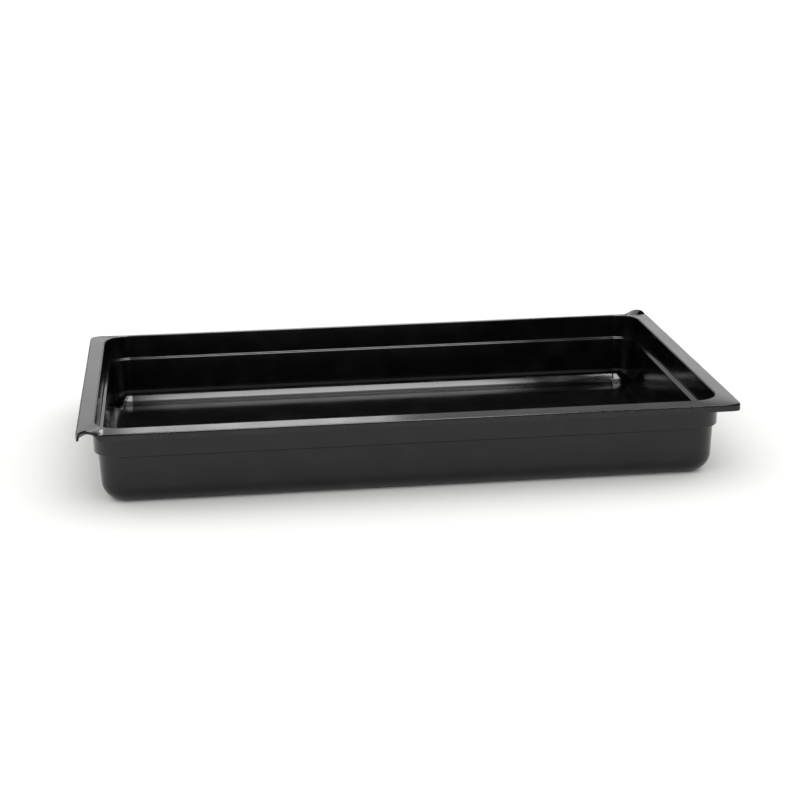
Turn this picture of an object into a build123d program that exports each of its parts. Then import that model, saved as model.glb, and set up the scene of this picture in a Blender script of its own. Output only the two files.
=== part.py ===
from build123d import *
import os
from math import cos, radians, sin, tan

# Full-size shallow food pan: one injection moulding in black polycarbonate, in millimetres.
# The origin is the centre of the base, on the surface that the pan stands on.
# +X runs along the length, +Y across the width and +Z up through the open mouth.

# Overall sizes.
length = 530.0  # over the rim
width = 325.0  # over the rim
height = 65.0  # base to the mouth's edge

# The rim is a flange that falls outwards, with a lip turned down from its edge.
end_flange = 14.5  # mouth to rim edge, at the two short ends
side_flange = 11.5  # mouth to rim edge, at the two long sides
flange_fall = 2.0  # drop from the mouth to the rim edge
flange_thickness = 2.6
rim_corner_radius = 7.0
rim_edge_radius = 1.6  # round along the rim's outer top edge
lip_height = 5.6  # rim edge down to the lip's foot
lip_thickness = 2.2
lip_foot_radius = 0.4

# The basin has an upright band under the mouth, a ledge that a nested pan
# stands on, and a well with drafted walls and a coved floor.
wall = 2.6
floor_thickness = 3.0
mouth_corner_radius = 22.0
mouth_edge_radius = 1.2
band_draft = 1.0  # degrees
ledge_depth = 21.6  # mouth down to the ledge
ledge_width = 3.2
ledge_round = 1.2  # largest round on the ledge's edges
well_draft = 3.0  # degrees
cove_radius = 13.4  # inside, floor to wall

# At two opposite corners the rim rises in an arch that opens outwards, so that
# air and a fingertip get in under the rim when a pan is lifted off a seat.
arch_radius = 9.0  # inside
arch_rise = 2.0  # how far its top stands over the mouth's edge
arch_slope = 8.0  # degrees, falling towards the mouth
arch_turn = 30.0  # degrees, from square to the long side round towards the corner
arch_place = 9.0  # from the end of the rim to the arch's middle
arch_length = 16.0

# Where the plastic was fed into the mould, a small dished mark under the base.
gate_radius = 7.0
gate_depth = 0.6
gate_stub_radius = 1.5
gate_stub_height = 0.4

# Levels and outlines that follow from the sizes above.
rim_edge_z = height - flange_fall
lip_foot_z = rim_edge_z - lip_height
ledge_z = height - ledge_depth
mouth_length = length - 2 * end_flange
mouth_width = width - 2 * side_flange
ledge_inset = ledge_depth * tan(radians(band_draft)) + ledge_width
well_length = mouth_length - 2 * ledge_inset
well_width = mouth_width - 2 * ledge_inset
well_corner_radius = mouth_corner_radius - ledge_inset
ledge_edge_radius = min(ledge_round, 0.4 * ledge_width)


def outline(size_x, size_y, corner_radius, z):
    """A rounded rectangle, centred on the pan, at height z."""
    return Plane.XY.offset(z) * RectangleRounded(size_x, size_y, corner_radius)


def drafted_block(size_x, size_y, corner_radius, top, foot, draft):
    """A rounded block, full size at its top, that narrows downwards by draft degrees."""
    downwards = Plane(origin=(0, 0, top), z_dir=(0, 0, -1))
    section = downwards * RectangleRounded(size_x, size_y, corner_radius)
    return extrude(section, amount=top - foot, taper=draft)


def edges_at(shape, z):
    """The edges of shape that lie at height z."""
    return shape.edges().filter_by_position(Axis.Z, z - 0.01, z + 0.01)


def edges_inside(shape, z, size_x, size_y):
    """The edges at height z that lie inside a centred rectangle of size_x by size_y."""
    def inside(edge):
        corner = edge.bounding_box().max
        other = edge.bounding_box().min
        across = max(corner.X, -other.X)
        along = max(corner.Y, -other.Y)
        return across < size_x / 2 + 0.01 and along < size_y / 2 + 0.01

    return edges_at(shape, z).filter_by(inside)


def basin(skin, top, ledge_level, floor_level, floor_round):
    """The basin as one solid, skin larger all round than the space inside it."""
    band = drafted_block(
        mouth_length + 2 * skin,
        mouth_width + 2 * skin,
        mouth_corner_radius + skin,
        top,
        ledge_level,
        band_draft,
    )
    band = fillet(edges_at(band, ledge_level), ledge_edge_radius)
    well = drafted_block(
        well_length + 2 * skin,
        well_width + 2 * skin,
        well_corner_radius + skin,
        ledge_z,
        floor_level,
        well_draft,
    )
    well = fillet(edges_at(well, floor_level), floor_round)
    joined = band + well
    nose = edges_inside(joined, ledge_level, well_length + 2 * skin, well_width + 2 * skin)
    return fillet(nose, ledge_edge_radius)


def rim_slab(inset, drop):
    """The rim filled in down to the lip's foot, its edge moved in and its top lowered."""
    edge = outline(
        length - 2 * inset,
        width - 2 * inset,
        rim_corner_radius - inset,
        rim_edge_z - drop,
    )
    mouth = outline(mouth_length, mouth_width, mouth_corner_radius, height - drop)
    sides = extrude(edge, amount=lip_foot_z - rim_edge_z + drop)
    return sides + loft([edge.face(), mouth.face()], ruled=True)


def arch_bar(radius):
    """A round bar over the long side near the +X, +Y corner, rising outwards and turned to the corner."""
    level = cos(radians(arch_slope))
    outwards = Vector(
        level * sin(radians(arch_turn)),
        level * cos(radians(arch_turn)),
        sin(radians(arch_slope)),
    )
    edge_of_rim = Vector(
        length / 2 - arch_place,
        width / 2,
        height + arch_rise - flange_thickness - arch_radius,
    )
    past_the_rim = Plane(origin=edge_of_rim + outwards * rim_corner_radius, z_dir=outwards)
    return extrude(past_the_rim * Circle(radius), amount=-arch_length - rim_corner_radius)


def at_opposite_corners(shape):
    """shape at its own corner and turned to the one across the pan."""
    return shape + shape.rotate(Axis.Z, 180)


def rim():
    """The flange and its lip, with the arches, over a hollow that is open underneath."""
    solid = rim_slab(0, 0)
    solid = fillet(edges_at(solid, rim_edge_z), rim_edge_radius)
    solid -= rim_slab(lip_thickness, flange_thickness)
    flange_foot = outline(length, width, rim_corner_radius, rim_edge_z - flange_thickness)
    within_edge = extrude(flange_foot, amount=height)
    solid += at_opposite_corners(arch_bar(arch_radius + flange_thickness)) & within_edge
    return solid - at_opposite_corners(arch_bar(arch_radius))


def gate_mark():
    """The dished mark, as the space it leaves in the base around its stub."""
    dish = extrude(Circle(gate_radius), amount=gate_depth)
    stub = extrude(Plane.XY.offset(gate_depth) * Circle(gate_stub_radius), amount=-gate_stub_height)
    return dish - stub


def pan():
    """The whole moulding."""
    skin = basin(wall, rim_edge_z, ledge_z - wall, 0, cove_radius + wall)
    space = basin(0, height, ledge_z, floor_thickness, cove_radius)
    moulding = rim() + skin - space
    mouth_edge = edges_inside(moulding, height, mouth_length, mouth_width)
    moulding = fillet(mouth_edge, mouth_edge_radius)
    moulding = fillet(edges_at(moulding, lip_foot_z), lip_foot_radius)
    return moulding - gate_mark()


os.makedirs("parts", exist_ok=True)
export_step(pan(), "parts/pan.step")
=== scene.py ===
from math import cos, pi, radians, sin, sqrt, tan

import bmesh
import bpy
from bpy.props import FloatProperty, FloatVectorProperty, IntProperty, PointerProperty, StringProperty
from mathutils import Matrix, Vector


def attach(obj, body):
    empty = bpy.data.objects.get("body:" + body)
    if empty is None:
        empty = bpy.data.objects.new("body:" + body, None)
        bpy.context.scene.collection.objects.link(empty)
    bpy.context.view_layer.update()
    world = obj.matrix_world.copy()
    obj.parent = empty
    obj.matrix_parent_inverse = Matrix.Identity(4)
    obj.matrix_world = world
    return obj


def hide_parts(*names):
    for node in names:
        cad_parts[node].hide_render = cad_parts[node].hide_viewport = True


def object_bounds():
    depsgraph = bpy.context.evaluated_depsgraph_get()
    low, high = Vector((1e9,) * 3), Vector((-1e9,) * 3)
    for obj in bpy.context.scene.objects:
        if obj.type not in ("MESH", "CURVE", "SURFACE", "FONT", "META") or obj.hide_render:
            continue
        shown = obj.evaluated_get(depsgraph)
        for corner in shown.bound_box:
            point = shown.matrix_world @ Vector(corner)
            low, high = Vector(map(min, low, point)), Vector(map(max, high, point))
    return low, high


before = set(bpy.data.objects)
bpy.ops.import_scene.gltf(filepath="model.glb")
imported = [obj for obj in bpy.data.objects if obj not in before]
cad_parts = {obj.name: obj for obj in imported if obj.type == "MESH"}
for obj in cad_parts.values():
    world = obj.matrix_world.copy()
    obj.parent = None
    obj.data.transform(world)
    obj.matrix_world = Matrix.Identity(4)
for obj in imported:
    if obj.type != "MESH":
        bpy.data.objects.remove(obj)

bl_info = {
    "name": "Shallow food pan",
    "version": (1, 0, 0),
    "blender": (4, 5, 0),
    "location": "3D View > Sidebar > Food Pan",
    "description": "Models a full-size shallow food pan in black polycarbonate, and a plain studio for it",
    "category": "Object",
}

CAD_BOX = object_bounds()
PAN_NODE = "pan"
PAN_BODY = "root"
MM = 0.001

ARCH_SIDES = (1, -1)  # the +X, +Y corner and the one across the pan from it


# ---------------------------------------------------------------- sizes and colours

def length_property(name, description, default):
    """A length in metres that the sidebar shows in the scene's units."""
    return FloatProperty(name=name, description=description, default=default, min=0.0, precision=4,
                         subtype="DISTANCE", unit="LENGTH")


def height_property(name, description, default):
    """A very small length in metres, for the relief of a surface."""
    return FloatProperty(name=name, description=description, default=default, min=0.0, precision=6,
                         subtype="DISTANCE", unit="LENGTH")


def amount_property(name, description, default):
    """An amount from 0 to 1."""
    return FloatProperty(name=name, description=description, default=default, min=0.0, max=1.0,
                         subtype="FACTOR")


def brightness_property(name, description, default):
    """How bright a light's face is, where 1 shows as white."""
    return FloatProperty(name=name, description=description, default=default, min=0.0)


def angle_property(name, description, degrees):
    """An angle, given in degrees."""
    return FloatProperty(name=name, description=description, default=radians(degrees), subtype="ANGLE",
                         unit="ROTATION")


def colour_property(name, description, default):
    """A colour as an sRGB hex value."""
    return StringProperty(name=name, description=description, default=default, maxlen=7)


class FoodPanSizes(bpy.types.PropertyGroup):
    """The driving sizes of the pan"""

    length: length_property("Length", "Over the rim, end to end", (CAD_BOX[1] - CAD_BOX[0]).x)
    width: length_property("Width", "Over the rim, side to side", (CAD_BOX[1] - CAD_BOX[0]).y)
    height: length_property("Height", "From the base to the edge of the mouth", 65 * MM)
    end_flange: length_property("End flange", "Rim edge to mouth at the ends", 14.5 * MM)
    side_flange: length_property("Side flange", "Rim edge to mouth along the sides", 11.5 * MM)
    flange_fall: length_property("Flange fall", "How far the flange drops from mouth to rim edge", 2 * MM)
    flange_thickness: length_property("Flange thickness", "Plastic in the flange", 2.6 * MM)
    rim_corner_radius: length_property("Rim corner radius", "Radius at the tip of the rim's corner", 7 * MM)
    rim_corner_reach: length_property("Rim corner reach", "Where the rim starts to turn its corner", 24 * MM)
    rim_edge_radius: length_property("Rim edge radius", "Round over the edge of the rim", 1.6 * MM)
    lip_height: length_property("Lip height", "Rim edge to the foot of the turned-down lip", 5.6 * MM)
    lip_thickness: length_property("Lip thickness", "Plastic in the lip", 2.2 * MM)
    lip_foot_radius: length_property("Lip foot radius", "Round on the foot of the lip", 0.4 * MM)
    lip_room: length_property("Lip room", "Height of the hollow behind the lip", 3 * MM)
    wall: length_property("Wall", "Plastic in the walls", 2.6 * MM)
    floor_thickness: length_property("Floor thickness", "Plastic in the floor", 3 * MM)
    mouth_corner_radius: length_property("Mouth corner radius", "Inside corner at the mouth", 22 * MM)
    mouth_edge_radius: length_property("Mouth edge radius", "Round over the edge of the mouth", 1.2 * MM)
    band_draft: angle_property("Band draft", "Slope of the band above the ledge", 1)
    ledge_depth: length_property("Ledge depth", "Mouth down to the stacking ledge", 21.6 * MM)
    ledge_width: length_property("Ledge width", "Step in at the stacking ledge", 3.2 * MM)
    ledge_round: length_property("Ledge round", "Rounds on both corners of the ledge", 1.2 * MM)
    well_draft: angle_property("Well draft", "Slope of the walls below the ledge", 3)
    cove_radius: length_property("Cove radius", "Inside round from wall to floor", 13.4 * MM)
    arch_radius: length_property("Arch radius", "Hollow under each of the two arches", 9 * MM)
    arch_rise: length_property("Arch rise", "How far an arch stands over the mouth", 2 * MM)
    arch_slope: angle_property("Arch slope", "Lift of the arch towards the rim's edge", 8)
    arch_turn: angle_property("Arch turn", "From square to the long side round to the corner", 30)
    arch_place: length_property("Arch place", "From the end of the rim to the arch", 9 * MM)
    arch_length: length_property("Arch length", "Inward from the edge of the rim", 16 * MM)
    gate_radius: length_property("Gate radius", "Dished gate mark under the base", 7 * MM)
    gate_depth: length_property("Gate depth", "Depth of that dish", 0.6 * MM)
    gate_stub_radius: length_property("Gate stub radius", "Cut stub in the dish", 1.5 * MM)
    gate_stub_height: length_property("Gate stub height", "Height of that stub", 0.4 * MM)
    corner_segments: IntProperty(name="Corner segments", description="Faces round each corner", default=48,
                                 min=8, max=96)
    flange_rows: IntProperty(name="Flange rows", description="Cuts across the flange", default=15,
                             min=3, max=40)


class PlasticFinish(bpy.types.PropertyGroup):
    """The colour, gloss and wear of the plastic"""

    black: colour_property("Black", "The plastic itself, as sRGB hex", "#040405")
    greyed: colour_property("Greyed", "Rubbed or filmed plastic, as sRGB hex", "#171718")
    ior: FloatProperty(name="IOR", description="How strongly the plastic mirrors", default=1.42, min=1.0)
    clean_roughness: amount_property("Clean roughness", "Where the gloss is as moulded", 0.10)
    wiped_roughness: amount_property("Wiped roughness", "Where wiping has dulled it most", 0.17)
    scratch_roughness: amount_property("Scratch roughness", "Added in a scratch", 0.10)
    rubbed_roughness: amount_property("Rubbed roughness", "Added where the plastic is rubbed", 0.14)
    wiped_patch: length_property("Wiped patch", "Size of the wiped patches", 38 * MM)
    film_cloud: length_property("Film cloud", "Size of the clouds in the dried film", 22 * MM)
    rubbed_grain: length_property("Rubbed grain", "Size of the rubbed spots", 4 * MM)
    rubbed_rim: length_property("Rubbed rim", "How far in from the rim's edge it is rubbed", 1.8 * MM)
    rubbed_base: length_property("Rubbed base", "How far up from the base it is rubbed", 1 * MM)
    wave_length: length_property("Wave length", "Size of the waves that cooling leaves", 45 * MM)
    wave_height: height_property("Wave height", "Height of those waves", 0.08 * MM)
    skin_grain: length_property("Skin grain", "Size of the grain of the polished mould", 1.6 * MM)
    skin_height: height_property("Skin height", "Height of that grain", 0.0012 * MM)
    scratch_depth: height_property("Scratch depth", "Depth of a scratch", 0.0015 * MM)


class StudioSettings(bpy.types.PropertyGroup):
    """The floor, lights and camera"""

    floor_colour: colour_property("Floor", "Matt floor, as sRGB hex", "#F2F2F0")
    floor_size: length_property("Floor size", "Side of the floor", 40.0)
    surround: brightness_property("Surround", "Even light on the floor", 1.3)
    overhead_softbox: brightness_property("Overhead softbox", "Makes the line in the far cove", 12.0)
    overhead_lamp: brightness_property("Overhead lamp", "Makes the spot in the far right corner", 26.0)
    back_softbox: brightness_property("Back softbox", "Makes the line on the near flange", 4.2)
    back_card: brightness_property("Back card", "Greys the end flanges", 1.1)
    dim_cards: brightness_property("Dim cards", "Round the front and the sides", 0.45)
    camera_place: FloatVectorProperty(name="Camera place", description="Where the camera stands",
                                      default=(-0.174, -1.582, 0.486), subtype="XYZ", unit="LENGTH")
    camera_turn: angle_property("Camera turn", "Turned to the right of straight ahead", 6.52)
    camera_tilt: angle_property("Camera tilt", "Looking down from the horizon", 15.86)
    camera_roll: angle_property("Camera roll", "Leaning on its own axis", -0.91)
    camera_lens: FloatProperty(name="Lens", description="Focal length", default=85.3, min=1.0,
                               subtype="DISTANCE_CAMERA", unit="CAMERA")


# ---------------------------------------------------------------- modelling by hand, in code

def deselect_all():
    """Nothing stays selected, in object mode."""
    if bpy.context.mode != "OBJECT":
        bpy.ops.object.mode_set(mode="OBJECT")
    bpy.ops.object.select_all(action="DESELECT")


def make_active(piece):
    """Only this piece is selected, and it is the active one."""
    deselect_all()
    piece.select_set(True)
    bpy.context.view_layer.objects.active = piece


def edit(piece):
    """Opens one piece in edit mode with nothing selected in it."""
    make_active(piece)
    bpy.ops.object.mode_set(mode="EDIT")
    bpy.ops.mesh.select_all(action="DESELECT")


def select_edges(piece, wanted):
    """Selects the edges of the piece in edit mode that pass the test."""
    bpy.ops.mesh.select_mode(type="EDGE")
    bpy.ops.mesh.select_all(action="DESELECT")
    mesh = bmesh.from_edit_mesh(piece.data)
    chosen = [edge for edge in mesh.edges if wanted(edge)]
    for edge in chosen:
        edge.select_set(True)
    bmesh.update_edit_mesh(piece.data)
    if not chosen:
        raise RuntimeError(f"{piece.name}: no edge passes the test")


def select_faces(piece, wanted):
    """Selects the faces of the piece in edit mode that pass the test."""
    bpy.ops.mesh.select_mode(type="FACE")
    bpy.ops.mesh.select_all(action="DESELECT")
    mesh = bmesh.from_edit_mesh(piece.data)
    chosen = [face for face in mesh.faces if wanted(face)]
    for face in chosen:
        face.select_set(True)
    bmesh.update_edit_mesh(piece.data)
    if not chosen:
        raise RuntimeError(f"{piece.name}: no face passes the test")


def crease_angle(edge):
    """The turn between an edge's two faces, or 0 on an open edge."""
    return edge.calc_face_angle(0.0) if len(edge.link_faces) == 2 else 0.0


def outline_face(length, width, level, reach, segments, fullness):
    """Adds a level, four-cornered face with turned corners, and leaves it selected in edit mode."""
    bpy.ops.mesh.primitive_plane_add(size=1, enter_editmode=True)
    bpy.ops.transform.resize(value=(length, width, 1))
    bpy.ops.transform.translate(value=(0, 0, level))
    bpy.ops.mesh.bevel(offset=reach, offset_type="OFFSET", segments=segments, profile=fullness,
                       affect="VERTICES", clamp_overlap=False)
    bpy.ops.mesh.select_mode(type="FACE")
    bpy.ops.mesh.select_all(action="SELECT")


def step_in(inset, drop):
    """Draws the selected face in by an even inset and down by a drop."""
    if inset > 0:
        bpy.ops.mesh.inset(thickness=inset, depth=-drop, use_boundary=True, use_even_offset=True)
    else:
        bpy.ops.mesh.extrude_region_move(TRANSFORM_OT_translate={"value": (0, 0, -drop)})


def set_back(radius, turn):
    """How far a round of this radius reaches from a corner that turns by this angle."""
    return radius * tan(turn / 2)


def round_over(piece, wanted, radius, turn, segments):
    """Rounds the edges that pass the test to one radius."""
    select_edges(piece, wanted)
    bpy.ops.mesh.bevel(offset=set_back(radius, turn), offset_type="OFFSET", segments=segments, profile=0.5,
                       affect="EDGES", clamp_overlap=False)


def apply_modifier(piece, kind, **settings):
    """Adds one modifier with its settings and applies it."""
    make_active(piece)
    modifier = piece.modifiers.new(kind.title(), kind)
    for name, value in settings.items():
        setattr(modifier, name, value)
    bpy.ops.object.modifier_apply(modifier=modifier.name)


# ---------------------------------------------------------------- the pan

ROUND_CORNER = 0.5       # fullness of a circular corner, as the bevel operator gives it
ARCH_EDGE_SMOOTHING = 3  # passes that soften where an arch meets the flange
ARCH_BAR_SIDES = 256
ON_THE_EDGE = 0.05 * MM  # points this close to the mouth's outline are on it
GATE_SIDES = 96
SHARPEST_ROUND = radians(35)  # faces that turn less than this are shaded as one surface


def mouth_length(sizes):
    """Length of the mouth."""
    return sizes.length - 2 * sizes.end_flange


def mouth_width(sizes):
    """Width of the mouth."""
    return sizes.width - 2 * sizes.side_flange


def inner_skin(sizes):
    """The inside of the pan: band, ledge, walls and floor, drawn down from the mouth."""
    ledge_level = sizes.height - sizes.ledge_depth
    well_depth = ledge_level - sizes.floor_thickness
    outline_face(mouth_length(sizes), mouth_width(sizes), sizes.height, sizes.mouth_corner_radius,
                 sizes.corner_segments, ROUND_CORNER)
    step_in(sizes.ledge_depth * tan(sizes.band_draft), sizes.ledge_depth)
    step_in(sizes.ledge_width, 0)
    step_in(well_depth * tan(sizes.well_draft), well_depth)
    return finish_skin("pan")


def outer_skin(sizes):
    """The outside of the pan below the flange: band, step, walls and base."""
    top = under_flange_level(sizes)
    step_level = sizes.height - sizes.ledge_depth - sizes.wall
    band = top - step_level
    above = (sizes.height - top) * tan(sizes.band_draft)
    outset = sizes.wall - above
    outline_face(mouth_length(sizes) + 2 * outset, mouth_width(sizes) + 2 * outset, top,
                 sizes.mouth_corner_radius + outset, sizes.corner_segments, ROUND_CORNER)
    step_in(band * tan(sizes.band_draft), band)
    step_in(sizes.ledge_width, 0)
    step_in(step_level * tan(sizes.well_draft), step_level)
    return finish_skin("outside")


def under_flange_level(sizes):
    """Where the underside of the flange meets the outside of the band."""
    fall = sizes.flange_fall * sizes.wall / sizes.side_flange
    return sizes.height - sizes.flange_thickness - fall


def finish_skin(name):
    """Leaves edit mode and names the object just made."""
    bpy.ops.object.mode_set(mode="OBJECT")
    skin = bpy.context.object
    skin.name = name
    skin.data.name = name
    return skin


def rim_outline(sizes):
    """The edge of the rim as a ring of edges: soft square corners with evenly spread points."""
    tip_cut = sizes.rim_corner_radius * (1 - sqrt(0.5))
    fullness = (1 - tip_cut / sizes.rim_corner_reach) ** 2
    outline_face(sizes.length, sizes.width, sizes.height - sizes.flange_fall, sizes.rim_corner_reach,
                 sizes.corner_segments, fullness)
    bpy.ops.mesh.delete(type="ONLY_FACE")
    return finish_skin("rim")


def join(piece, other):
    """Joins the second mesh into the first."""
    make_active(piece)
    other.select_set(True)
    bpy.ops.object.join()


def bridge_open_rings(piece, rows):
    """Bridges the two open rings of the piece with rows of faces."""
    edit(piece)
    bpy.ops.mesh.select_mode(type="EDGE")
    bpy.ops.mesh.select_non_manifold(extend=False, use_wire=True, use_boundary=True, use_multi_face=False,
                                     use_non_contiguous=False, use_verts=False)
    bpy.ops.mesh.bridge_edge_loops(number_cuts=rows, interpolation="LINEAR")


def arch_place(sizes, side):
    """The point on the axis of one arch that lies over the edge of the rim."""
    level = sizes.height + sizes.arch_rise - sizes.flange_thickness - sizes.arch_radius
    return Vector((side * (sizes.length / 2 - sizes.arch_place), side * sizes.width / 2, level))


def arch_bar(sizes, side, radius):
    """A bar on the axis of one arch, to shape the rim by."""
    level = cos(sizes.arch_slope)
    outward = Vector((side * level * sin(sizes.arch_turn), side * level * cos(sizes.arch_turn),
                      sin(sizes.arch_slope)))
    bpy.ops.mesh.primitive_cylinder_add(vertices=ARCH_BAR_SIDES, radius=radius, depth=2 * sizes.arch_length,
                                        location=arch_place(sizes, side),
                                        rotation=outward.to_track_quat("Z", "Y").to_euler())
    return bpy.context.object


def near_arch(sizes, side, point):
    """Whether a point lies in the part of the rim that one arch may shape."""
    return (arch_place(sizes, side).xy - point.xy).length < sizes.arch_length + sizes.arch_radius


def lift_onto_bar(piece, sizes, side, radius, wanted):
    """Lifts the rim points under one arch's bar straight up onto it, and takes the bar away."""
    bar = arch_bar(sizes, side, radius)
    group = piece.vertex_groups.new(name="arch")
    chosen = [point.index for point in piece.data.vertices
              if near_arch(sizes, side, point.co) and wanted(sizes, point.co)]
    group.add(chosen, 1.0, "REPLACE")
    apply_modifier(piece, "SHRINKWRAP", wrap_method="PROJECT", target=bar, vertex_group=group.name,
                   use_project_z=True, use_project_x=False, use_project_y=False,
                   use_positive_direction=True, use_negative_direction=False)
    piece.vertex_groups.clear()
    bpy.data.objects.remove(bar)


def on_flange(sizes, point):
    """Whether a point is on top of the flange, outside the edge of the mouth."""
    return point.z > sizes.height - sizes.flange_fall - MM and not in_mouth(sizes, point)


def in_mouth(sizes, point):
    """Whether a point is within the mouth's outline or on its edge."""
    radius = sizes.mouth_corner_radius
    across = Vector((max(abs(point.x) - mouth_length(sizes) / 2 + radius, 0.0),
                     max(abs(point.y) - mouth_width(sizes) / 2 + radius, 0.0)))
    return across.length < radius + ON_THE_EDGE


def raise_arches(piece, sizes):
    """Lifts the flange into its two arches and softens where they meet the flange."""
    for side in ARCH_SIDES:
        lift_onto_bar(piece, sizes, side, sizes.arch_radius + sizes.flange_thickness, on_flange)
    edit(piece)
    bpy.ops.mesh.select_mode(type="VERT")
    mesh = bmesh.from_edit_mesh(piece.data)
    for point in mesh.verts:
        near = any(near_arch(sizes, side, point.co) for side in ARCH_SIDES)
        point.select_set(near and on_flange(sizes, point.co))
    mesh.select_flush_mode()
    bmesh.update_edit_mesh(piece.data)
    bpy.ops.mesh.vertices_smooth(factor=0.5, repeat=ARCH_EDGE_SMOOTHING, xaxis=False, yaxis=False)
    bpy.ops.object.mode_set(mode="OBJECT")


def fold_lip(piece, sizes):
    """Folds the rim's open edge down into the lip, round its foot and up behind it."""
    radius = sizes.lip_foot_radius
    foot_level = sizes.height - sizes.flange_fall - sizes.lip_height
    edit(piece)
    bpy.ops.mesh.select_mode(type="EDGE")
    bpy.ops.mesh.select_non_manifold(extend=False, use_wire=True, use_boundary=True, use_multi_face=False,
                                     use_non_contiguous=False, use_verts=False)
    bpy.ops.mesh.extrude_edges_move()
    bpy.ops.transform.resize(value=(1, 1, 0), center_override=(0, 0, foot_level + radius))
    bpy.ops.mesh.edge_face_add()
    bpy.ops.mesh.select_mode(type="FACE")
    bevel = radius * (1 - sqrt(0.5))
    step_down(bevel, radius - bevel)
    step_down(radius - bevel, bevel)
    step_down(sizes.lip_thickness - 2 * radius, 0)
    step_down(radius - bevel, -bevel)
    step_down(bevel, bevel - radius)
    step_down(0, -(sizes.lip_room - radius))
    bpy.ops.mesh.delete(type="ONLY_FACE")
    bpy.ops.object.mode_set(mode="OBJECT")


def step_down(inset, drop):
    """Draws the selected face, whichever way it looks, in by an inset and down by a drop."""
    if inset > 0:
        bpy.ops.mesh.inset(thickness=inset, depth=0, use_boundary=True, use_even_offset=True)
    else:
        bpy.ops.mesh.extrude_region_move()
    bpy.ops.transform.translate(value=(0, 0, -drop))


def hollow_arches(piece, sizes):
    """Hollows the underside of both arches and opens the lip under them."""
    for side in ARCH_SIDES:
        lift_onto_bar(piece, sizes, side, sizes.arch_radius, under_flange)
    edit(piece)
    bpy.ops.mesh.select_all(action="SELECT")
    bpy.ops.mesh.remove_doubles(threshold=0.005 * MM)
    bpy.ops.object.mode_set(mode="OBJECT")


def under_flange(sizes, point):
    """Whether a point is on the lip's foot, behind the lip or under the flange."""
    foot_level = sizes.height - sizes.flange_fall - sizes.lip_height
    below_edge = point.z < foot_level + sizes.lip_foot_radius + MM
    return point.z > foot_level - MM and (below_edge or point.z < under_flange_level(sizes) - 0.01 * MM)


def round_rim_edge(piece, sizes):
    """Rounds the edge of the rim, over the arches too."""
    def rim_edge(edge):
        middle = (edge.verts[0].co + edge.verts[1].co) / 2
        high = middle.z > sizes.height - sizes.flange_fall - 0.1 * MM
        return high and not in_mouth(sizes, middle) and crease_angle(edge) > radians(60)

    edit(piece)
    round_over(piece, rim_edge, sizes.rim_edge_radius, radians(90) - sizes.flange_fall / sizes.side_flange, 6)
    bpy.ops.object.mode_set(mode="OBJECT")


def round_basin_edges(piece, sizes):
    """Rounds the mouth, the ledge, the cove and what matches them outside, each to its own radius."""
    upright = radians(90)
    rim_fall = sizes.flange_fall / sizes.side_flange
    ledge_level = sizes.height - sizes.ledge_depth
    step_level = ledge_level - sizes.wall

    def level_crease(level):
        def wanted(edge):
            flat = all(abs(point.co.z - level) < 0.01 * MM for point in edge.verts)
            return flat and crease_angle(edge) > radians(20)
        return wanted

    edit(piece)
    round_over(piece, level_crease(sizes.height), sizes.mouth_edge_radius,
               upright - sizes.band_draft + rim_fall, 5)
    round_over(piece, level_crease(ledge_level), sizes.ledge_round, upright - sizes.well_draft, 5)
    round_over(piece, level_crease(sizes.floor_thickness), sizes.cove_radius, upright - sizes.well_draft, 14)
    round_over(piece, level_crease(step_level), sizes.ledge_round, upright - sizes.well_draft, 4)
    round_over(piece, level_crease(0.0), sizes.cove_radius + sizes.wall, upright - sizes.well_draft, 14)
    bpy.ops.object.mode_set(mode="OBJECT")


def face_outwards(piece):
    """Turns every face of a closed shell outwards."""
    edit(piece)
    bpy.ops.mesh.select_all(action="SELECT")
    bpy.ops.mesh.normals_make_consistent(inside=False)
    bpy.ops.object.mode_set(mode="OBJECT")


def smooth(piece, angle):
    """Shades the piece smooth up to an angle, with the flats kept flat by weighted normals."""
    make_active(piece)
    bpy.ops.object.shade_smooth_by_angle(angle=angle)
    apply_modifier(piece, "WEIGHTED_NORMAL", mode="FACE_AREA", weight=100, keep_sharp=True)


def gate_mark(piece, sizes):
    """Sinks the dished gate mark and its cut stub in the middle of the base."""
    edit(piece)
    select_faces(piece, lambda face: len(face.verts) > 4 and face.calc_center_median().z < 0.1 * MM)
    bpy.ops.mesh.delete(type="ONLY_FACE")
    bpy.ops.mesh.select_mode(type="EDGE")
    bpy.ops.mesh.select_all(action="DESELECT")
    bpy.ops.mesh.primitive_circle_add(vertices=GATE_SIDES, radius=sizes.gate_radius, fill_type="NOTHING")
    bpy.ops.mesh.select_non_manifold(extend=True, use_wire=True, use_boundary=True, use_multi_face=False,
                                     use_non_contiguous=False, use_verts=False)
    bpy.ops.mesh.fill(use_beauty=True)
    bpy.ops.mesh.select_all(action="DESELECT")
    bpy.ops.mesh.select_non_manifold(extend=False, use_wire=False, use_boundary=True, use_multi_face=False,
                                     use_non_contiguous=False, use_verts=False)
    bpy.ops.mesh.edge_face_add()
    bpy.ops.mesh.select_mode(type="FACE")
    step_down(sizes.gate_depth, -sizes.gate_depth / 2)
    step_down(sizes.gate_depth, -sizes.gate_depth / 2)
    step_down(sizes.gate_radius - 2 * sizes.gate_depth - sizes.gate_stub_radius, 0)
    step_down(0, sizes.gate_stub_height)
    bpy.ops.object.mode_set(mode="OBJECT")


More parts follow.
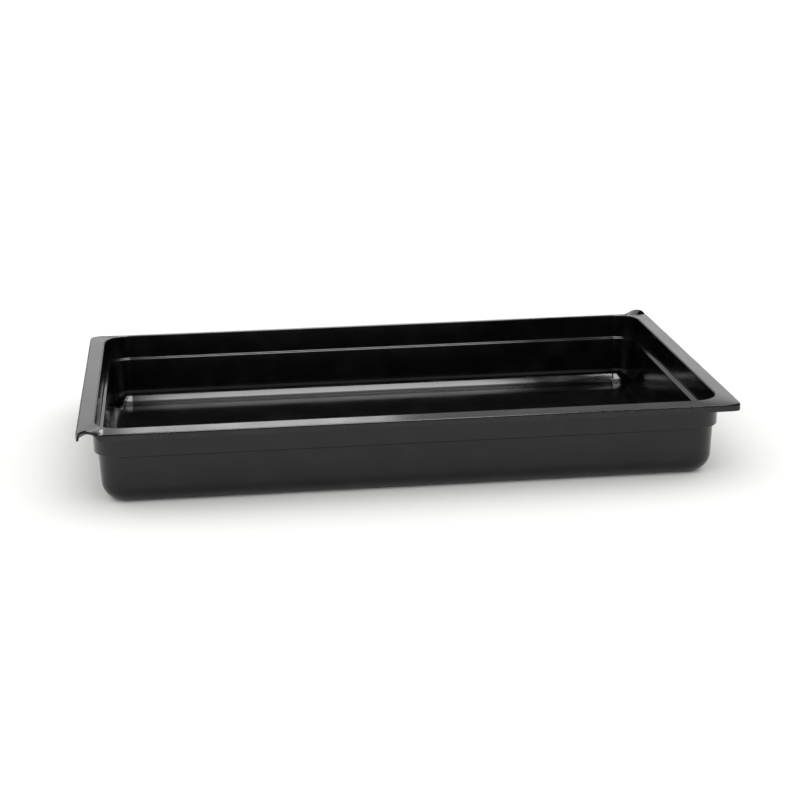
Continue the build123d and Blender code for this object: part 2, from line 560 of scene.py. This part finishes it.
class FOODPAN_OT_pan(bpy.types.Operator):
    """Model the pan as one moulded shell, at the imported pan's place and size"""

    bl_idname = "foodpan.pan"
    bl_label = "Pan"

    def execute(self, context):
        """Draws both skins, bridges them at the rim, and gives the shell its edges and material."""
        sizes = context.scene.food_pan_sizes
        finish = context.scene.food_pan_finish
        deselect_all()
        pan = inner_skin(sizes)
        pan.name = "pan_shell"
        join(pan, rim_outline(sizes))
        bridge_open_rings(pan, sizes.flange_rows)
        bpy.ops.object.mode_set(mode="OBJECT")
        raise_arches(pan, sizes)
        fold_lip(pan, sizes)
        round_rim_edge(pan, sizes)
        join(pan, outer_skin(sizes))
        bridge_open_rings(pan, sizes.flange_rows)
        bpy.ops.object.mode_set(mode="OBJECT")
        hollow_arches(pan, sizes)
        face_outwards(pan)
        round_basin_edges(pan, sizes)
        gate_mark(pan, sizes)
        face_outwards(pan)
        smooth(pan, SHARPEST_ROUND)
        pan.data.materials.clear()
        pan.data.materials.append(moulded_polycarbonate(sizes, finish))
        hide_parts(PAN_NODE)
        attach(pan, PAN_BODY)
        return {"FINISHED"}


# ---------------------------------------------------------------- materials

RUBBED_BARE = 0.2 * MM  # this close to an edge the plastic is rubbed all over


def linear_colour(hex_value):
    """An sRGB hex colour as linear red, green, blue and alpha."""
    channels = [int(hex_value[i:i + 2], 16) / 255 for i in (1, 3, 5)]
    return [c / 12.92 if c <= 0.04045 else ((c + 0.055) / 1.055) ** 2.4 for c in channels] + [1.0]


def new_material(name):
    """An empty node material and its tree."""
    material = bpy.data.materials.new(name)
    material.use_nodes = True
    material.node_tree.nodes.clear()
    return material, material.node_tree


def add_node(tree, kind, sockets=(), **settings):
    """Adds one node, sets its settings, and gives its sockets their numbers or links."""
    node = tree.nodes.new(kind)
    for name, value in settings.items():
        setattr(node, name, value)
    for name, value in dict(sockets).items():
        if isinstance(value, bpy.types.NodeSocket):
            tree.links.new(value, node.inputs[name])
        else:
            node.inputs[name].default_value = value
    return node


def scratch_pattern(tree, place, length, width, turn):
    """Fine scratches that run one way over the plastic: 1 in a scratch and 0 between them."""
    strokes = add_node(tree, "ShaderNodeMapping", {
        "Vector": place, "Rotation": (0, 0, turn), "Scale": (1 / length, 1 / width, 1 / width)})
    grain = add_node(tree, "ShaderNodeTexNoise", {
        "Vector": strokes.outputs["Vector"], "Scale": 1.0, "Detail": 1.0, "Roughness": 0.5})
    return add_node(tree, "ShaderNodeMapRange", {
        "Value": grain.outputs["Fac"], "From Min": 0.66, "From Max": 0.72}).outputs["Result"]


def rubbed_pattern(tree, place, sizes, finish):
    """How rubbed the plastic is, from 0 to 1: only along the edge of the rim and on the base."""
    axes = add_node(tree, "ShaderNodeSeparateXYZ", {"Vector": place}).outputs
    past_edge = []
    for axis, size in (("X", sizes.length), ("Y", sizes.width)):
        distance = add_node(tree, "ShaderNodeMath", {0: axes[axis]}, operation="ABSOLUTE")
        past_edge.append(add_node(tree, "ShaderNodeMath", {0: distance.outputs["Value"], 1: size / 2},
                                  operation="SUBTRACT").outputs["Value"])
    nearest_edge = add_node(tree, "ShaderNodeMath", {0: past_edge[0], 1: past_edge[1]}, operation="MAXIMUM")
    at_rim = add_node(tree, "ShaderNodeMapRange", {
        "Value": nearest_edge.outputs["Value"], "From Min": -finish.rubbed_rim, "From Max": -RUBBED_BARE})
    at_base = add_node(tree, "ShaderNodeMapRange", {
        "Value": axes["Z"], "From Min": RUBBED_BARE, "From Max": finish.rubbed_base,
        "To Min": 1.0, "To Max": 0.0})
    where = add_node(tree, "ShaderNodeMath", {0: at_rim.outputs["Result"], 1: at_base.outputs["Result"]},
                     operation="MAXIMUM")
    grain = add_node(tree, "ShaderNodeTexNoise", {
        "Vector": place, "Scale": 1 / finish.rubbed_grain, "Detail": 4.0, "Roughness": 0.5})
    patches = add_node(tree, "ShaderNodeMapRange", {
        "Value": grain.outputs["Fac"], "From Min": 0.42, "From Max": 0.62, "To Min": 0.25, "To Max": 1.0})
    return add_node(tree, "ShaderNodeMath", {0: where.outputs["Value"], 1: patches.outputs["Result"]},
                    operation="MULTIPLY").outputs["Value"]


def plastic_colour(tree, place, rubbed, finish):
    """Deep black, with the faint clouds of a dried film of washing water and greyer where it is rubbed."""
    clouds = add_node(tree, "ShaderNodeTexNoise", {
        "Vector": place, "Scale": 1 / finish.film_cloud, "Detail": 5.0, "Roughness": 0.5})
    film = add_node(tree, "ShaderNodeMapRange", {
        "Value": clouds.outputs["Fac"], "From Min": 0.45, "From Max": 0.75, "To Min": 0.0, "To Max": 0.5})
    greyed = add_node(tree, "ShaderNodeMath", {0: film.outputs["Result"], 1: rubbed}, operation="MAXIMUM")
    return add_node(tree, "ShaderNodeMix", {
        "Factor": greyed.outputs["Value"], "A": linear_colour(finish.black),
        "B": linear_colour(finish.greyed)}, data_type="RGBA").outputs["Result"]


def plastic_roughness(tree, place, scratches, rubbed, finish):
    """Glossy, a little duller in wiped patches, and duller again in scratches and where it is rubbed."""
    wiping = add_node(tree, "ShaderNodeTexNoise", {
        "Vector": place, "Scale": 1 / finish.wiped_patch, "Detail": 3.0, "Roughness": 0.5})
    wiped = add_node(tree, "ShaderNodeMapRange", {
        "Value": wiping.outputs["Fac"], "From Min": 0.35, "From Max": 0.7,
        "To Min": finish.clean_roughness, "To Max": finish.wiped_roughness})
    scratched = add_node(tree, "ShaderNodeMath", {0: scratches, 1: finish.scratch_roughness},
                         operation="MULTIPLY")
    worn = add_node(tree, "ShaderNodeMath", {0: rubbed, 1: finish.rubbed_roughness}, operation="MULTIPLY")
    marks = add_node(tree, "ShaderNodeMath", {0: scratched.outputs["Value"], 1: worn.outputs["Value"]},
                     operation="MAXIMUM")
    return add_node(tree, "ShaderNodeMath", {0: wiped.outputs["Result"], 1: marks.outputs["Value"]},
                    operation="ADD").outputs["Value"]


def plastic_surface(tree, place, scratches, finish):
    """The broad waviness of a cooled moulding, the finer skin of the mould, and the cuts of scratches."""
    cooled = add_node(tree, "ShaderNodeTexNoise", {
        "Vector": place, "Scale": 1 / finish.wave_length, "Detail": 1.0, "Roughness": 0.5})
    mould_skin = add_node(tree, "ShaderNodeTexNoise", {
        "Vector": place, "Scale": 1 / finish.skin_grain, "Detail": 2.0, "Roughness": 0.5})
    waves = add_node(tree, "ShaderNodeBump", {
        "Height": cooled.outputs["Fac"], "Strength": 1.0, "Distance": finish.wave_height})
    skin = add_node(tree, "ShaderNodeBump", {
        "Height": mould_skin.outputs["Fac"], "Strength": 1.0, "Distance": finish.skin_height,
        "Normal": waves.outputs["Normal"]})
    cuts = add_node(tree, "ShaderNodeBump", {
        "Height": scratches, "Strength": 1.0, "Distance": finish.scratch_depth,
        "Normal": skin.outputs["Normal"]}, invert=True)
    return cuts.outputs["Normal"]


def moulded_polycarbonate(sizes, finish):
    """Black polycarbonate, injection moulded in a polished mould, after some washing and stacking.

    The eye gets a deep, even black under a clear gloss. Reflections waver a little over the broad walls,
    thin scratches and wiped patches soften them here and there, a dried film of washing water greys it in
    faint clouds, and the edge of the rim and the base are a shade greyer and duller from rubbing.
    """
    material, tree = new_material("black_polycarbonate_moulded_gloss")
    place = add_node(tree, "ShaderNodeTexCoord").outputs["Object"]
    rubbed = rubbed_pattern(tree, place, sizes, finish)
    # Real scratches are a tenth as wide, and would be too fine to show.
    long_scratches = scratch_pattern(tree, place, 60 * MM, 0.5 * MM, radians(12))
    short_scratches = scratch_pattern(tree, place, 35 * MM, 0.4 * MM, radians(-55))
    scratches = add_node(tree, "ShaderNodeMath", {0: long_scratches, 1: short_scratches},
                         operation="MAXIMUM").outputs["Value"]
    shader = add_node(tree, "ShaderNodeBsdfPrincipled", {
        "Base Color": plastic_colour(tree, place, rubbed, finish),
        "Roughness": plastic_roughness(tree, place, scratches, rubbed, finish),
        "Normal": plastic_surface(tree, place, scratches, finish),
        "IOR": finish.ior})
    add_node(tree, "ShaderNodeOutputMaterial", {"Surface": shader.outputs["BSDF"]})
    return material


def matt_floor(studio):
    """Matt painted board: pale, with no gloss."""
    material, tree = new_material("pale_board_matt_paint")
    shader = add_node(tree, "ShaderNodeBsdfPrincipled", {
        "Base Color": linear_colour(studio.floor_colour), "Roughness": 0.9, "Specular IOR Level": 0.0})
    add_node(tree, "ShaderNodeOutputMaterial", {"Surface": shader.outputs["BSDF"]})
    return material


# ---------------------------------------------------------------- the studio

def lay_floor(studio):
    """A plain pale floor at the height of the pan's base."""
    deselect_all()
    bpy.ops.mesh.primitive_plane_add(size=studio.floor_size, location=(0, 0, 0))
    floor = bpy.context.object
    floor.name = "floor"
    floor.data.materials.append(matt_floor(studio))


def hang_softbox(name, place, facing, size, brightness):
    """A softbox that faces one way and is seen only in the gloss: the surround lights the floor."""
    bpy.ops.object.light_add(type="AREA", location=place, rotation=facing)
    light = bpy.context.object
    light.name = name
    light.data.shape = "RECTANGLE"
    light.data.size = size[0]
    light.data.size_y = size[1]
    light.data.energy = brightness * pi * size[0] * size[1]
    light.visible_diffuse = False


def light_pan(studio):
    """Softboxes over and behind the pan for its bright lines, and dim cards round the other sides."""
    downwards = (0, 0, 0)
    to_front = (radians(-90), 0, 0)
    hang_softbox("overhead_softbox", (0.08, 0, 1.5), downwards, (0.64, 1.8), studio.overhead_softbox)
    hang_softbox("overhead_lamp", (0.63, -0.1, 1.5), downwards, (0.05, 1.6), studio.overhead_lamp)
    hang_softbox("back_softbox", (-0.02, 2.2, 1.55), to_front, (0.62, 0.7), studio.back_softbox)
    hang_softbox("back_card", (0.3, 2.3, 1.1), to_front, (2.4, 1.7), studio.back_card)
    for name, place, turn in (("front_card", (0, -3, 1.1), 0), ("left_card", (-2.6, 0, 1.1), -90),
                              ("right_card", (2.6, 0, 1.1), 90)):
        hang_softbox(name, place, (radians(90), 0, radians(turn)), (5, 1.7), studio.dim_cards)


def light_surround(studio):
    """An even white surround that lights the floor and leaves the gloss to the softboxes."""
    world = bpy.data.worlds.new("surround")
    world.use_nodes = True
    background = world.node_tree.nodes["Background"]
    background.inputs["Color"].default_value = (1, 1, 1, 1)
    background.inputs["Strength"].default_value = studio.surround
    world.cycles_visibility.glossy = False
    bpy.context.scene.world = world


def set_camera(studio):
    """The camera, level with a person leaning over a counter."""
    turn = (Matrix.Rotation(-studio.camera_turn, 4, "Z")
            @ Matrix.Rotation(radians(90) - studio.camera_tilt, 4, "X")
            @ Matrix.Rotation(studio.camera_roll, 4, "Z"))
    bpy.ops.object.camera_add(location=studio.camera_place, rotation=turn.to_euler())
    camera = bpy.context.object
    camera.name = "camera"
    camera.data.lens = studio.camera_lens
    camera.data.sensor_width = 36.0
    camera.data.clip_end = 200.0
    bpy.context.scene.camera = camera


class FOODPAN_OT_studio(bpy.types.Operator):
    """Set up the plain pale floor, soft studio light and camera"""

    bl_idname = "foodpan.studio"
    bl_label = "Studio"

    def execute(self, context):
        """Lays the floor, hangs the lights and sets the camera."""
        studio = context.scene.food_pan_studio
        lay_floor(studio)
        light_surround(studio)
        light_pan(studio)
        set_camera(studio)
        context.scene.view_settings.view_transform = "Standard"
        return {"FINISHED"}


class FOODPAN_PT_sidebar(bpy.types.Panel):
    """Lists the pan's operators and sizes"""

    bl_idname = "FOODPAN_PT_sidebar"
    bl_label = "Food Pan"
    bl_space_type = "VIEW_3D"
    bl_region_type = "UI"
    bl_category = "Food Pan"

    def draw(self, context):
        """One button for each operator, with its settings under it."""
        scene = context.scene
        for operator, groups in ((FOODPAN_OT_pan, (scene.food_pan_sizes, scene.food_pan_finish)),
                                 (FOODPAN_OT_studio, (scene.food_pan_studio,))):
            box = self.layout.box()
            box.operator(operator.bl_idname)
            for group in groups:
                for name in group.__annotations__:
                    box.prop(group, name)


CLASSES = (FoodPanSizes, PlasticFinish, StudioSettings, FOODPAN_OT_pan, FOODPAN_OT_studio, FOODPAN_PT_sidebar)


def register():
    """Registers the classes and hangs their settings on the scene."""
    for cls in CLASSES:
        bpy.utils.register_class(cls)
    bpy.types.Scene.food_pan_sizes = PointerProperty(type=FoodPanSizes)
    bpy.types.Scene.food_pan_finish = PointerProperty(type=PlasticFinish)
    bpy.types.Scene.food_pan_studio = PointerProperty(type=StudioSettings)


def unregister():
    """Takes it all away again."""
    del bpy.types.Scene.food_pan_studio
    del bpy.types.Scene.food_pan_finish
    del bpy.types.Scene.food_pan_sizes
    for cls in reversed(CLASSES):
        bpy.utils.unregister_class(cls)


def main():
    """Makes the pan and its studio."""
    register()
    bpy.ops.foodpan.pan()
    bpy.ops.foodpan.studio()


if __name__ == "__main__":
    main()
